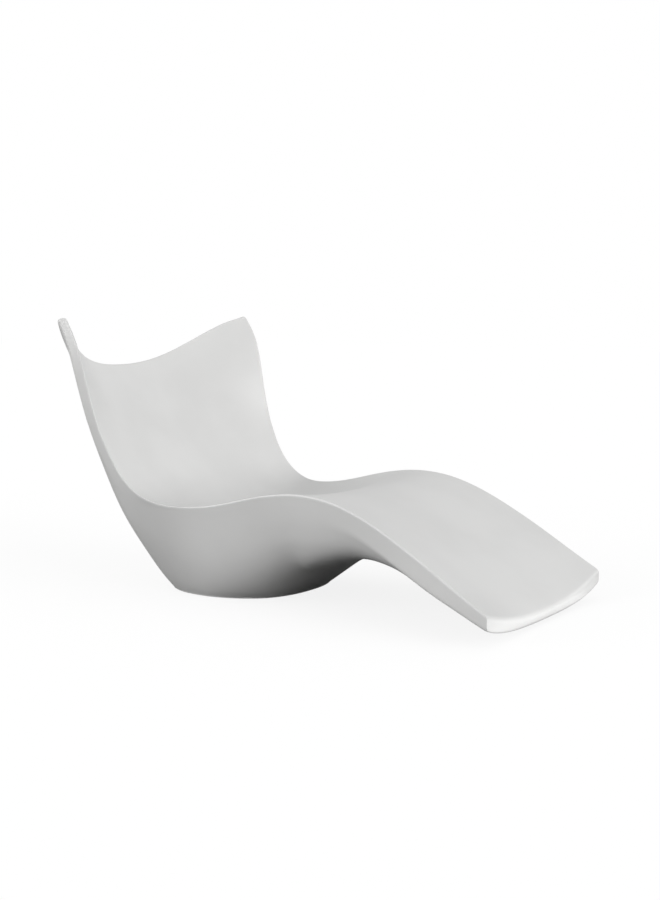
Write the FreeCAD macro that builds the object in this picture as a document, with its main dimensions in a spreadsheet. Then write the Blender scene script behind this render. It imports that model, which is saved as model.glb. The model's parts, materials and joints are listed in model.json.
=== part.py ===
"""In-pool sun lounger: a hollow moulded body on an oval base, with ballast ports and non-slip pads.

Millimetres, +Z up, +X towards the foot end, +Y across.
The origin is the centre of the base's flat underside.
"""
import FreeCAD
import Part
import math
import os

Vector = FreeCAD.Vector

doc = FreeCAD.newDocument("sun_lounger")

# Driving dimensions: alias, millimetres (or a count), meaning
SIZES = [
    ("wing_height", 991, "rim height at the raised corners of the back"),
    ("wing_span", 1057, "rim to rim across the raised corners"),
    ("wing_setback", 402, "raised corners behind the origin"),
    ("back_height", 799, "top edge of the back at its middle"),
    ("back_wrap", 225, "middle of the top edge behind the raised corners"),
    ("tip_rounding", 10, "how far the raised corners are drawn in"),
    ("hip_height", 337, "lowest point of the rim, beside the seat"),
    ("hip_width", 829, "rim to rim beside the seat"),
    ("hip_advance", 56, "lowest rim point ahead of the origin"),
    ("seat_height", 246, "lowest point of the seat"),
    ("seat_advance", 29, "lowest seat point ahead of the origin"),
    ("knee_height", 413, "rim height at the knee"),
    ("knee_width", 821, "rim to rim at the knee"),
    ("knee_advance", 515, "knee ahead of the origin"),
    ("knee_dish", 22, "seat below the rim at the knee"),
    ("foot_advance", 1203, "foot end ahead of the origin"),
    ("foot_width", 872, "rim to rim at the foot end"),
    ("foot_height", 104, "rim height at the foot end"),
    ("foot_dish", 60, "top surface below the rim at the foot end"),
    ("foot_clearance", 9, "underside of the foot end above the base's underside"),
    ("foot_edge", 50, "height of the rim band at the foot end"),
    ("edge_thickness", 46, "width of the rim band round the back"),
    ("edge_radius", 11, "reach of the rounding along the rim"),
    ("side_fillet", 47, "reach of the rounding from the rim band into the base's side"),
    ("hip_side_drop", 50, "rim band's lower line below the rim beside the seat"),
    ("knee_side_drop", 230, "rim band's lower line below the rim at the knee"),
    ("base_length", 533, "footprint along X"),
    ("base_width", 587, "footprint along Y"),
    ("base_bilge", 107, "depth of the base's bowl below the floor cut"),
    ("arch_height", 178, "underside of the leg above the floor at the arch"),
    ("wall", 5, "moulded wall"),
    ("floor_wall", 8, "moulded wall of the base's flat underside"),
    ("fill_port_height", 540, "fill port on the outside of the back"),
    ("drain_port_height", 85, "drain port on the outside of the heel"),
    ("port_boss_diameter", 92, "thickened wall round a port"),
    ("port_boss_depth", 26, "thickened wall below the port's seat"),
    ("port_seat_depth", 7, "flat port seat below the skin"),
    ("port_seat_margin", 2, "flat port seat outside the bush flange"),
    ("bush_flange_diameter", 66, "bush flange"),
    ("bush_flange_height", 4, "bush flange"),
    ("bush_diameter", 44, "bush sleeve"),
    ("bush_length", 30, "bush sleeve below its flange"),
    ("bush_bore", 32, "bush bore for the plug"),
    ("plug_clearance", 0.08, "plug shank to bush bore, on the radius"),
    ("plug_shank_length", 22, "plug shank below its head"),
    ("plug_head_diameter", 54, "plug head"),
    ("plug_head_height", 9, "plug head"),
    ("plug_slot_width", 5, "driving slot in the plug head"),
    ("plug_slot_depth", 4, "driving slot in the plug head"),
    ("plug_grips", 12, "finger flutes round the plug head"),
    ("plug_grip_diameter", 7, "finger flute"),
    ("seal_height", 2.5, "sealing ring between plug head and bush"),
    ("seal_diameter", 46, "sealing ring, outside"),
    ("pads", 6, "non-slip pads under the base"),
    ("pad_diameter", 58, "pad"),
    ("pad_height", 8, "pad"),
    ("pad_stand", 2, "pad below the base's underside"),
    ("pad_play", 0.3, "pad to its pocket, on the radius"),
    ("pad_ring_length", 335, "oval on which the pads sit, along X"),
    ("pad_ring_width", 400, "oval on which the pads sit, along Y"),
    ("pad_boss_margin", 9, "boss round a pad pocket"),
    ("pad_boss_height", 26, "boss above a pad pocket"),
    ("screw_diameter", 6, "pad screw"),
    ("screw_head_diameter", 13, "pad screw head"),
    ("screw_head_height", 3.5, "pad screw head"),
    ("screw_head_cover", 1.5, "pad screw head above the pad's foot"),
    ("screw_length", 18, "pad screw below its head"),
    ("screw_play", 0.3, "screw head and shank to the pad, on the radius"),
    ("thread_play", 0.05, "screw shank to insert bore, on the radius"),
    ("insert_diameter", 11, "threaded insert in a pad boss"),
    ("insert_length", 16, "threaded insert in a pad boss"),
    ("cut_overrun", 5, "how far cutting shapes run past what they cut"),
]

sheet = doc.addObject("Spreadsheet::Sheet", "Sizes")
for row, (alias, value, meaning) in enumerate(SIZES, start=1):
    sheet.set("A%d" % row, alias)
    sheet.set("B%d" % row, str(value))
    sheet.set("C%d" % row, meaning)
    sheet.setAlias("B%d" % row, alias)
doc.recompute()


def size(alias):
    """A driving dimension, read from the sheet."""
    return float(sheet.get(alias))


# Lines of the body along its length, as shares (x, y, z) from one anchor to the next
RIM_BACK_SHARES = [(0, 0, 0), (0.115, 0, 0.13), (0.17, 0.02, 0.27), (0.215, 0.09, 0.42), (0.27, 0.16, 0.58),
                   (0.36, 0.27, 0.735), (0.47, 0.36, 0.87), (0.62, 0.47, 0.96), (0.8, 0.72, 1), (1, 1, 1)]
RIM_SEAT_SHARES = [(0.22, 0.4, 0.17), (0.45, 0.7, 0.53), (0.66, 0.9, 0.83), (0.85, 1, 0.98), (1, 1, 1.01)]
RIM_LEG_SHARES = [(0.14, 0.1, 0.025), (0.28, 0.25, 0.115), (0.42, 0.4, 0.25), (0.56, 0.6, 0.417),
                  (0.7, 0.75, 0.596), (0.84, 0.9, 0.792), (0.94, 1, 0.925), (1, 1, 1)]
SEAT_BACK_SHARES = [(0, 0, 0), (0.105, 0, 0.13), (0.2, 0, 0.25), (0.31, 0, 0.385), (0.43, 0, 0.53),
                    (0.55, 0, 0.67), (0.67, 0, 0.81), (0.79, 0, 0.92), (0.9, 0, 0.985), (1, 0, 1)]
SEAT_SEAT_SHARES = [(0.2, 0, 0.03), (0.42, 0, 0.24), (0.63, 0, 0.58), (0.82, 0, 0.87), (1, 0, 1.01)]
SEAT_LEG_SHARES = [(0.13, 0, 0.03), (0.27, 0, 0.115), (0.41, 0, 0.24), (0.55, 0, 0.4),
                   (0.69, 0, 0.575), (0.835, 0, 0.77), (0.94, 0, 0.91), (1, 0, 1)]
KEEL_BACK_SHARES = [(0, 0, 0), (0.13, 0, 0.105), (0.255, 0, 0.2), (0.385, 0, 0.315), (0.52, 0, 0.44),
                    (0.65, 0, 0.575), (0.78, 0, 0.725), (0.89, 0, 0.87), (1, 0, 1.01)]
KEEL_BASE_SHARES = [(0.2, 0, 0.96), (0.5, 0, 0.94), (0.78, 0, 0.58), (0.9, 0, 0.51)]
KEEL_ARCH_SHARES = [(0.26, 0, 0.46), (0.3, 0, 0.52), (0.37, 0, 0.65), (0.76, 0, 1), (1, 0, 1)]
KEEL_LEG_SHARES = [(0.25, 0, 0.19), (0.49, 0, 0.4), (0.73, 0, 0.645), (0.9, 0, 0.86), (1, 0, 1)]
ARCH_CROWN_SHARE = 0.49
FOOT_ROLL_SHARE = 0.33

# How each cross-section changes along the body, one share for each station
DIP_SHARES = [0.7, 0.62, 0.45, 0.25, 0.1, 0, 0, 0, 0, 0, 0, 0, 0, 0, 0, 0, 0, 0, 0, 0, 0, 0, 0]
BUCKET_SHARES = [0, 0, 0, 0.05, 0.15, 0.32, 0.57, 0.47, 0.42, 0.44, 0.47, 0.42, 0.27, 0.35, 0.46, 0.48,
                 0.49, 0.45, 0.06, 0, 0, 0, 0]
FLAT_SHARES = [0, 0, 0, 0, 0, 0, 0, 0, 0, 0, 0, 0, 0, 0, 0, 0, 0.05, 0.1, 0.2, 0.3, 0.4, 0.5, 0.6]
BAND_TURN_SHARES = [0, 0, 0, 0, 0, 0.1, 0.3, 0.6, 0.85, 1, 1, 1, 1, 1, 1, 1, 1, 1, 1, 1, 1, 1, 1]
BAND_HIP_SHARES = [0.05, 0.26, 0.2, 0.07, 0.03, 0.25, 0.55, 0.85, 1, 1]
BAND_KNEE_SHARES = [0.1, 0.16, 0.2, 0.23, 0.23]
BAND_LEG_SHARES = [0.82, 0.85, 0.81, 0.81, 0.82, 0.92, 0.97, 1]
SIDE_LEAN_SHARES = [0, 0, 0, 0.03, 0.11, 0.17, 0.22, 0.24, 0.23, 0.22, 0.2, 0.2, 0.19, 0.18, 0.17, 0.16,
                    0.14, 0.12, 0.09, 0.04, 0.03, 0.02, 0.02]
SIDE_FILLET_SHARES = [0, 0, 0, 0, 0, 0, 0.1, 0.3, 0.6, 0.7, 0.8, 0.9, 1, 1, 0.8, 0.4, 0.1, 0, 0, 0, 0, 0, 0]

# Cross-section columns from the middle to the rim
ACROSS_SHARES = [0, 0.2, 0.42, 0.62, 0.8, 0.92]
BUCKET_BASE_SHARES = [0, 0.4, 0.71, 1.02, 0.5, 0.2]
BUCKET_SIDE_SHARES = [0, 0, 0, 0, 0.5, 0.8]
BUCKET_Z_SHARES = [0, 0, 0.03, 0.02, 0.12, 0.42]
CROWN_POWER = 2.3
FLAT_POWER = 5
DIP_POWER = 1.53
BACK_BAND_DIRECTION = Vector(-0.98, 0, -0.2)
BACK_MIDDLE_DIRECTION = Vector(-0.66, 0, -0.75)
SIDE_DOWN = Vector(0, 0, -1)


def between(start, end, shares):
    """Point at a share of the way from start to end, one share for each axis."""
    step = end - start
    return start + Vector(step.x * shares[0], step.y * shares[1], step.z * shares[2])


def along(start, end, share):
    """Point at one share of the way from start to end."""
    return start + (end - start) * share


def towards(start, end, distance):
    """Point at a distance from start on the way to end."""
    step = end - start
    return start + step * (distance / step.Length)


def body_lines():
    """Rim, seat, lower band and keel lines: one point of each for every station along the body."""
    rim_top = Vector(-size("wing_setback"), size("wing_span") / 2, size("wing_height"))
    rim_hip = Vector(size("hip_advance"), size("hip_width") / 2, size("hip_height"))
    rim_knee = Vector(size("knee_advance"), size("knee_width") / 2, size("knee_height"))
    rim_foot = Vector(size("foot_advance"), size("foot_width") / 2, size("foot_height"))
    seat_top = Vector(-size("wing_setback") - size("back_wrap"), 0, size("back_height"))
    seat_hip = Vector(size("seat_advance"), 0, size("seat_height"))
    seat_knee = Vector(size("knee_advance"), 0, size("knee_height") - size("knee_dish"))
    seat_foot = Vector(size("foot_advance"), 0, size("foot_height") - size("foot_dish"))
    keel_top = seat_top + BACK_MIDDLE_DIRECTION * size("edge_thickness")
    heel = Vector(-size("base_length") / 2, 0, 0)
    toe = Vector(size("base_length") / 2, 0, 0)
    bilge_toe = Vector(toe.x, 0, -size("base_bilge"))
    keel_foot = Vector(size("foot_advance"), 0, size("foot_clearance"))
    crown = Vector(toe.x + (keel_foot.x - toe.x) * ARCH_CROWN_SHARE, 0, size("arch_height"))

    rim = [between(rim_top, rim_hip, shares) for shares in RIM_BACK_SHARES]
    rim += [between(rim_hip, rim_knee, shares) for shares in RIM_SEAT_SHARES]
    rim += [between(rim_knee, rim_foot, shares) for shares in RIM_LEG_SHARES]
    seat = [between(seat_top, seat_hip, shares) for shares in SEAT_BACK_SHARES]
    seat += [between(seat_hip, seat_knee, shares) for shares in SEAT_SEAT_SHARES]
    seat += [between(seat_knee, seat_foot, shares) for shares in SEAT_LEG_SHARES]
    keel = [between(keel_top, heel, shares) for shares in KEEL_BACK_SHARES]
    keel += [between(heel, bilge_toe, shares) for shares in KEEL_BASE_SHARES]
    keel += [between(toe, crown, shares) for shares in KEEL_ARCH_SHARES]
    keel += [between(crown, keel_foot, shares) for shares in KEEL_LEG_SHARES]

    widths = [size("edge_thickness") + (size("hip_side_drop") - size("edge_thickness")) * share
              for share in BAND_HIP_SHARES]
    widths += [size("hip_side_drop") + (size("knee_side_drop") - size("hip_side_drop")) * share
               for share in BAND_KNEE_SHARES]
    widths += [size("knee_side_drop") + (size("foot_edge") - size("knee_side_drop")) * share
               for share in BAND_LEG_SHARES]
    band = []
    for point, width, turn, lean in zip(rim, widths, BAND_TURN_SHARES, SIDE_LEAN_SHARES):
        direction = along(BACK_BAND_DIRECTION, SIDE_DOWN, turn) + Vector(0, -lean, 0)
        direction.normalize()
        band.append(point + direction * width)
    return rim, seat, band, keel


def inset_lines(lines, wall):
    """The same lines moved one wall into the body, for its hollow."""
    rim, seat, band, keel = lines
    inward = Vector(0, -wall, 0)
    moved_rim = [towards(r, b, wall) + inward for r, b in zip(rim, band)]
    moved_band = [towards(b, r, wall) + inward for r, b in zip(rim, band)]
    moved_seat = [towards(s, k, wall) for s, k in zip(seat, keel)]
    moved_keel = [towards(k, s, wall) for s, k in zip(seat, keel)]
    moved = []
    for line in (moved_rim, moved_seat, moved_band, moved_keel):
        line[0] = towards(line[0], line[1], wall)
        line[-1] = towards(line[-1], line[-2], wall)
        moved.append(line)
    return moved


def half_rows(middle_line, side_line, other_side_line, bucketed):
    """Poles of one skin from the middle to its rolled rim, one row for each station."""
    rows = []
    for station, middle in enumerate(middle_line):
        side = side_line[station]
        if station == 0:
            inward = along(middle, side_line[1], ACROSS_SHARES[-1])
            side = towards(side, inward, size("tip_rounding"))
        dip = DIP_SHARES[station]
        bucket = BUCKET_SHARES[station] if bucketed else 0
        flat = FLAT_SHARES[station] if bucketed else 0
        row = []
        for column, across in enumerate(ACROSS_SHARES):
            crown = across ** CROWN_POWER
            wave = (1 - math.cos(math.pi * across ** DIP_POWER)) / 2
            bucket_y = size("base_width") / 2 * BUCKET_BASE_SHARES[column]
            bucket_y += side.y * BUCKET_SIDE_SHARES[column]
            y = side.y * across + (bucket_y - side.y * across) * bucket
            x_share = crown
            z_share = crown + (wave - crown) * dip + (across ** FLAT_POWER - crown) * flat
            z_share += (BUCKET_Z_SHARES[column] - z_share) * bucket
            point = between(middle, side, (x_share, 0, z_share))
            point.y = y
            row.append(point)
        reach = size("edge_radius")
        if bucketed:
            reach += (size("side_fillet") - reach) * SIDE_FILLET_SHARES[station]
        row.append(towards(side, row[-1], reach))
        row.append(side)
        row.append(towards(side, other_side_line[station], reach))
        rows.append(row)
    return rows


def rolled_ends(rows, other_rows):
    """The rows with the extra ones that roll the skin over at the top edge and at the foot end."""
    reach = size("edge_radius")
    first, second = rows[0], rows[1]
    last, before = rows[-1], rows[-2]
    top = [[towards(a, b, reach) for a, b in zip(first, other_rows[0])], first,
           [towards(a, b, reach) for a, b in zip(first, second)]]
    foot = [[towards(a, b, reach) for a, b in zip(last, before)], last]
    foot.append([towards(a, b, min(reach, a.distanceToPoint(b) * FOOT_ROLL_SHARE))
                 for a, b in zip(last, other_rows[-1])])
    return top + rows[1:-1] + foot


def mirrored(row):
    """A whole cross-section row from its half: the far side is the near side's mirror image."""
    near = [Vector(point.x, -point.y, point.z) for point in reversed(row[1:])]
    return near + row


def clamped(count, degree):
    """Knots and multiplicities of a clamped uniform spline with this many poles."""
    spans = count - degree
    knots = [float(knot) for knot in range(spans + 1)]
    multiplicities = [degree + 1] + [1] * (spans - 1) + [degree + 1]
    return knots, multiplicities


def spline_face(rows, row_degree=3):
    """A spline face over a net of poles, cubic across and cubic or straight along."""
    column_degree = 3
    u_knots, u_mults = clamped(len(rows), row_degree)
    v_knots, v_mults = clamped(len(rows[0]), column_degree)
    surface = Part.BSplineSurface()
    surface.buildFromPolesMultsKnots(rows, u_mults, v_mults, u_knots, v_knots, False, False,
                                     row_degree, column_degree)
    return surface.toShape()


def closed_body(lines):
    """Solid between the seat skin and the outer skin, closed by straight bands round the edge."""
    rim, seat, band, keel = lines
    seat_rows = half_rows(seat, rim, band, False)
    outer_rows = half_rows(keel, band, rim, True)
    seat_net = [mirrored(row) for row in rolled_ends(seat_rows, outer_rows)]
    outer_net = [mirrored(row) for row in rolled_ends(outer_rows, seat_rows)]
    straight = 1
    faces = [spline_face(seat_net), spline_face(outer_net)]
    for side in (0, -1):
        edge = [[row[side] for row in seat_net], [row[side] for row in outer_net]]
        faces.append(spline_face(edge, straight))
    for end in (0, -1):
        faces.append(spline_face([seat_net[end], outer_net[end]], straight))
    shell = Part.makeShell(faces)
    shell.sewShape()
    solid = Part.makeSolid(shell)
    if solid.Volume < 0:
        solid.reverse()
    return solid


def above(solid, level):
    """The part of a solid above a level."""
    box = solid.BoundBox
    margin = size("cut_overrun")
    block = Part.makeBox(box.XLength + 2 * margin, box.YLength + 2 * margin, box.ZMax + margin - level,
                         Vector(box.XMin - margin, box.YMin - margin, level))
    return solid.common(block)


def disc(diameter, bottom, top, placement):
    """A cylinder on a piece's own axis, between two heights along it."""
    cylinder = Part.makeCylinder(diameter / 2, top - bottom, Vector(0, 0, bottom))
    cylinder.Placement = placement.multiply(cylinder.Placement)
    return cylinder


def port_placement(solid, lines, height):
    """Seat of a port on the middle of the outer skin, at a height: local +Z points out of the body."""
    keel = lines[3]
    upper, lower = next(pair for pair in zip(keel, keel[1:]) if pair[0].z >= height > pair[1].z)
    spot = along(upper, lower, (upper.z - height) / (upper.z - lower.z))
    outward = Vector(0, 1, 0).cross(lower - upper)
    outward.normalize()
    reach = size("port_boss_diameter")
    track = Part.makeLine(spot - outward * reach, spot + outward * reach).common(solid)
    skin = max((vertex.Point for vertex in track.Vertexes), key=lambda point: (point - spot).dot(outward))
    seat_point = skin - outward * size("port_seat_depth")
    return FreeCAD.Placement(seat_point, FreeCAD.Rotation(Vector(0, 0, 1), outward))


def pad_placements():
    """Places of the pads on their oval, at the base's underside."""
    count = int(size("pads"))
    places = []
    for index in range(count):
        angle = 2 * math.pi * (index + 0.5) / count
        spot = Vector(size("pad_ring_length") / 2 * math.cos(angle),
                      size("pad_ring_width") / 2 * math.sin(angle), 0)
        places.append(FreeCAD.Placement(spot, FreeCAD.Rotation()))
    return places


# Body shell
outer_lines = body_lines()
outer = above(closed_body(outer_lines), 0)
hollow = above(closed_body(inset_lines(outer_lines, size("wall"))), size("floor_wall"))
ports = {}
for port in ("fill", "drain"):
    ports[port] = port_placement(outer, outer_lines, size(port + "_port_height"))
pad_places = pad_placements()

overrun = size("cut_overrun")
pocket_depth = size("pad_height") - size("pad_stand")
pocket_diameter = size("pad_diameter") + 2 * size("pad_play")
bosses = []
cuts = []
for place in ports.values():
    bosses.append(disc(size("port_boss_diameter"), -size("port_boss_depth"), size("port_seat_depth"), place))
    seat_diameter = size("bush_flange_diameter") + 2 * size("port_seat_margin")
    cuts.append(disc(seat_diameter, 0, size("port_seat_depth") + overrun, place))
    cuts.append(disc(size("bush_diameter"), -size("port_boss_depth") - overrun, 0, place))
for place in pad_places:
    boss_diameter = pocket_diameter + 2 * size("pad_boss_margin")
    bosses.append(disc(boss_diameter, 0, pocket_depth + size("pad_boss_height"), place))
    cuts.append(disc(pocket_diameter, -overrun, pocket_depth, place))
    cuts.append(disc(size("insert_diameter"), pocket_depth, pocket_depth + size("insert_length"), place))
solid_bosses = [boss.common(outer) for boss in bosses]
body_shape = outer.cut(hollow).fuse(solid_bosses).cut(cuts)

shell = doc.addObject("Part::Feature", "body_shell")
shell.Label = "body_shell"
shell.Shape = body_shape.removeSplitter()
nodes = [shell]


def primitive(kind, name, lengths, corner):
    """A primitive whose lengths and place are bound to the sheet."""
    piece = doc.addObject(kind, name)
    for key, expression in lengths.items():
        piece.setExpression(key, expression)
    for axis, expression in corner.items():
        piece.setExpression("Placement.Base." + axis, expression)
    return piece


def tube(name, radius, height, bottom):
    """A cylinder on the local axis, with its radius, height and bottom bound to the sheet."""
    return primitive("Part::Cylinder", name, {"Radius": radius, "Height": height}, {"z": bottom})


def joined(name, pieces):
    """Union of pieces."""
    union = doc.addObject("Part::MultiFuse", name)
    union.Shapes = pieces
    return union


def without(name, base, tool):
    """One piece cut by another."""
    cut = doc.addObject("Part::Cut", name)
    cut.Base = base
    cut.Tool = tool
    return cut


def node(piece, name, placement):
    """Make a piece one of the part's nodes, in its place."""
    piece.Label = name
    piece.Placement = placement
    nodes.append(piece)


def port_pieces(port, placement):
    """Bush, sealing ring and screw plug of one ballast port."""
    sleeve = tube(port + "_sleeve", "Sizes.bush_diameter / 2", "Sizes.bush_length", "-Sizes.bush_length")
    flange = tube(port + "_flange", "Sizes.bush_flange_diameter / 2", "Sizes.bush_flange_height", "0")
    bore = tube(port + "_bore", "Sizes.bush_bore / 2",
                "Sizes.bush_length + Sizes.bush_flange_height + 2 * Sizes.cut_overrun",
                "-Sizes.bush_length - Sizes.cut_overrun")
    bush = without(port + "_bush", joined(port + "_bush_blank", [sleeve, flange]), bore)
    node(bush, port + "_port_bush", placement)

    ring = tube(port + "_ring", "Sizes.seal_diameter / 2", "Sizes.seal_height", "Sizes.bush_flange_height")
    eye = tube(port + "_ring_eye", "Sizes.bush_bore / 2", "Sizes.seal_height + 2 * Sizes.cut_overrun",
               "Sizes.bush_flange_height - Sizes.cut_overrun")
    node(without(port + "_seal", ring, eye), port + "_plug_seal", placement)

    head_foot = "Sizes.bush_flange_height + Sizes.seal_height"
    shank = tube(port + "_shank", "Sizes.bush_bore / 2 - Sizes.plug_clearance", "Sizes.plug_shank_length",
                 head_foot + " - Sizes.plug_shank_length")
    head = tube(port + "_head", "Sizes.plug_head_diameter / 2", "Sizes.plug_head_height", head_foot)
    slot_lengths = {"Length": "Sizes.plug_head_diameter + 2 * Sizes.cut_overrun",
                    "Width": "Sizes.plug_slot_width",
                    "Height": "Sizes.plug_slot_depth + Sizes.cut_overrun"}
    slot_corner = {"x": "-Sizes.plug_head_diameter / 2 - Sizes.cut_overrun",
                   "y": "-Sizes.plug_slot_width / 2",
                   "z": head_foot + " + Sizes.plug_head_height - Sizes.plug_slot_depth"}
    slot = primitive("Part::Box", port + "_slot", slot_lengths, slot_corner)
    cutters = [slot]
    count = int(size("plug_grips"))
    for index in range(count):
        angle = 360 * (index + 0.5) / count
        flute = tube("%s_flute_%d" % (port, index + 1), "Sizes.plug_grip_diameter / 2",
                     "Sizes.plug_head_height + 2 * Sizes.cut_overrun", head_foot + " - Sizes.cut_overrun")
        flute.setExpression("Placement.Base.x", "Sizes.plug_head_diameter / 2 * cos(%g)" % angle)
        flute.setExpression("Placement.Base.y", "Sizes.plug_head_diameter / 2 * sin(%g)" % angle)
        cutters.append(flute)
    grips = joined(port + "_grips", cutters)
    knob = without(port + "_knob", head, grips)
    node(joined(port + "_screw", [shank, knob]), port + "_plug", placement)


def pad_pieces(index, placement):
    """Pad, screw and threaded insert of one foot, with the local origin at the base's underside."""
    label = str(index)
    foot = "-Sizes.pad_stand"
    head_foot = "-Sizes.pad_stand + Sizes.screw_head_cover"
    head_top = head_foot + " + Sizes.screw_head_height"
    pad_top = "Sizes.pad_height - Sizes.pad_stand"
    blank = tube("pad_blank_" + label, "Sizes.pad_diameter / 2", "Sizes.pad_height", foot)
    sink = tube("pad_sink_" + label, "Sizes.screw_head_diameter / 2 + Sizes.screw_play",
                "Sizes.screw_head_cover + Sizes.screw_head_height + Sizes.cut_overrun",
                foot + " - Sizes.cut_overrun")
    eye = tube("pad_eye_" + label, "Sizes.screw_diameter / 2 + Sizes.screw_play",
               "Sizes.pad_height + 2 * Sizes.cut_overrun", foot + " - Sizes.cut_overrun")
    pad = without("pad_" + label, blank, joined("pad_holes_" + label, [sink, eye]))
    node(pad, "foot_pad_" + label, placement)

    head = tube("screw_head_" + label, "Sizes.screw_head_diameter / 2", "Sizes.screw_head_height", head_foot)
    shank = tube("screw_shank_" + label, "Sizes.screw_diameter / 2", "Sizes.screw_length", head_top)
    node(joined("screw_" + label, [head, shank]), "pad_screw_" + label, placement)

    sleeve = tube("insert_sleeve_" + label, "Sizes.insert_diameter / 2", "Sizes.insert_length", pad_top)
    thread = tube("insert_thread_" + label, "Sizes.screw_diameter / 2 + Sizes.thread_play",
                  "Sizes.insert_length + 2 * Sizes.cut_overrun", pad_top + " - Sizes.cut_overrun")
    node(without("insert_" + label, sleeve, thread), "pad_insert_" + label, placement)


for port, place in ports.items():
    port_pieces(port, place)
for index, place in enumerate(pad_places, start=1):
    pad_pieces(index, place)
doc.recompute()

for piece in doc.Objects:
    if "Invalid" in piece.State or "Error" in piece.State:
        raise RuntimeError("failed: " + piece.Label)
for piece in nodes:
    if piece.Shape.isNull() or not piece.Shape.isValid() or len(piece.Shape.Solids) != 1:
        raise RuntimeError("not one valid solid: " + piece.Label)

os.makedirs("parts", exist_ok=True)
for piece in nodes:
    piece.Shape.exportStep(os.path.join("parts", piece.Label + ".step"))
    print(piece.Label, round(piece.Shape.Volume), len(piece.Shape.Faces))
for port, place in ports.items():
    print(port, "port seat", place.Base, "axis", place.Rotation.multVec(Vector(0, 0, 1)))
print("centre of mass", shell.Shape.Solids[0].CenterOfMass)
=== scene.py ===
"""Looks of the in-pool sun lounger: a moulded body with screw-plugged ballast ports, on rubber pads.

Metres, +Z up, +X towards the foot end, in the frame of the packed solids.
"""
import json
import math

import bpy
import bmesh
import numpy as np
from bpy.props import FloatProperty, FloatVectorProperty, IntProperty, PointerProperty
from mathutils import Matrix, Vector


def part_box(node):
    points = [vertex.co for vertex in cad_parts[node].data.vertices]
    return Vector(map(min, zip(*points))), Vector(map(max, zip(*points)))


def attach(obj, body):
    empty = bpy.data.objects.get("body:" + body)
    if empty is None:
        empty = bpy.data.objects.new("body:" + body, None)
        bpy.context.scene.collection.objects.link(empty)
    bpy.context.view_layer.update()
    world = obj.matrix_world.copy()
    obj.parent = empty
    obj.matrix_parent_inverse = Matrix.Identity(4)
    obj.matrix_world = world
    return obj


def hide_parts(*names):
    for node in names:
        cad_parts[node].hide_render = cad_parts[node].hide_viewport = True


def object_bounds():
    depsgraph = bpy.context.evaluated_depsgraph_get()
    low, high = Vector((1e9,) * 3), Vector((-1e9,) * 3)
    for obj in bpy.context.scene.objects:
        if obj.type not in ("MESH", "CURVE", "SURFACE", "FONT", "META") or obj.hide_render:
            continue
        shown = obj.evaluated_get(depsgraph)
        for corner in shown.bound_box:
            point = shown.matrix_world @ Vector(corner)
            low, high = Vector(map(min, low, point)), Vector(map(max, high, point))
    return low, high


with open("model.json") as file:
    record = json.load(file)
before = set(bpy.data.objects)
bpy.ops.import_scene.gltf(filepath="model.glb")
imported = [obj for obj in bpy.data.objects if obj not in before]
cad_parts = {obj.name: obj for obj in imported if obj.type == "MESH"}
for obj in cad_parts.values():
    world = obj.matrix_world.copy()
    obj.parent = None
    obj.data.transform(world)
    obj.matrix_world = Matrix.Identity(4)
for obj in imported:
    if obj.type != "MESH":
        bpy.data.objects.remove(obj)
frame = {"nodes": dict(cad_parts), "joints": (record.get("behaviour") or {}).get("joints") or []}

bl_info = {
    "name": "Sun lounger looks",
    "version": (1, 0, 0),
    "blender": (4, 5, 0),
    "location": "3D View > Sidebar > Lounger",
    "description": "Builds the moulded body, ports, feet and stage of an in-pool sun lounger",
    "category": "Object",
}

CAD_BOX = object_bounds()
MM = 0.001
BODY = "lounger"
JOINTS = {joint["name"]: joint for joint in frame["joints"]}
PORTS = ("fill", "drain")
PAD_COUNT = len([name for name in frame["nodes"] if name.startswith("foot_pad_")])

# Lines of the body along its length, as shares (x, y, z) from one anchor to the next
RIM_SHARES = (
    [(0, 0, 0), (0.115, 0, 0.13), (0.17, 0.02, 0.27), (0.215, 0.09, 0.42), (0.27, 0.16, 0.58),
     (0.36, 0.27, 0.735), (0.47, 0.36, 0.87), (0.62, 0.47, 0.96), (0.8, 0.72, 1), (1, 1, 1)],
    [(0.22, 0.4, 0.17), (0.45, 0.7, 0.53), (0.66, 0.9, 0.83), (0.85, 1, 0.98), (1, 1, 1.01)],
    [(0.14, 0.1, 0.025), (0.28, 0.25, 0.115), (0.42, 0.4, 0.25), (0.56, 0.6, 0.417),
     (0.7, 0.75, 0.596), (0.84, 0.9, 0.792), (0.94, 1, 0.925), (1, 1, 1)])
SEAT_SHARES = (
    [(0, 0, 0), (0.105, 0, 0.13), (0.2, 0, 0.25), (0.31, 0, 0.385), (0.43, 0, 0.53),
     (0.55, 0, 0.67), (0.67, 0, 0.81), (0.79, 0, 0.92), (0.9, 0, 0.985), (1, 0, 1)],
    [(0.2, 0, 0.03), (0.42, 0, 0.24), (0.63, 0, 0.58), (0.82, 0, 0.87), (1, 0, 1.01)],
    [(0.13, 0, 0.03), (0.27, 0, 0.115), (0.41, 0, 0.24), (0.55, 0, 0.4),
     (0.69, 0, 0.575), (0.835, 0, 0.77), (0.94, 0, 0.91), (1, 0, 1)])
KEEL_SHARES = (
    [(0, 0, 0), (0.13, 0, 0.105), (0.255, 0, 0.2), (0.385, 0, 0.315), (0.52, 0, 0.44), (0.65, 0, 0.575),
     (0.78, 0, 0.725), (0.89, 0, 0.87), (1, 0, 1.01)],
    [(0.2, 0, 0.96), (0.5, 0, 0.94), (0.78, 0, 0.58), (0.9, 0, 0.51)],
    [(0.26, 0, 0.46), (0.3, 0, 0.52), (0.37, 0, 0.65), (0.76, 0, 1), (1, 0, 1)],
    [(0.25, 0, 0.19), (0.49, 0, 0.4), (0.73, 0, 0.645), (0.9, 0, 0.86), (1, 0, 1)])
ARCH_CROWN_SHARE = 0.49
FOOT_ROLL_SHARE = 0.33

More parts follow.
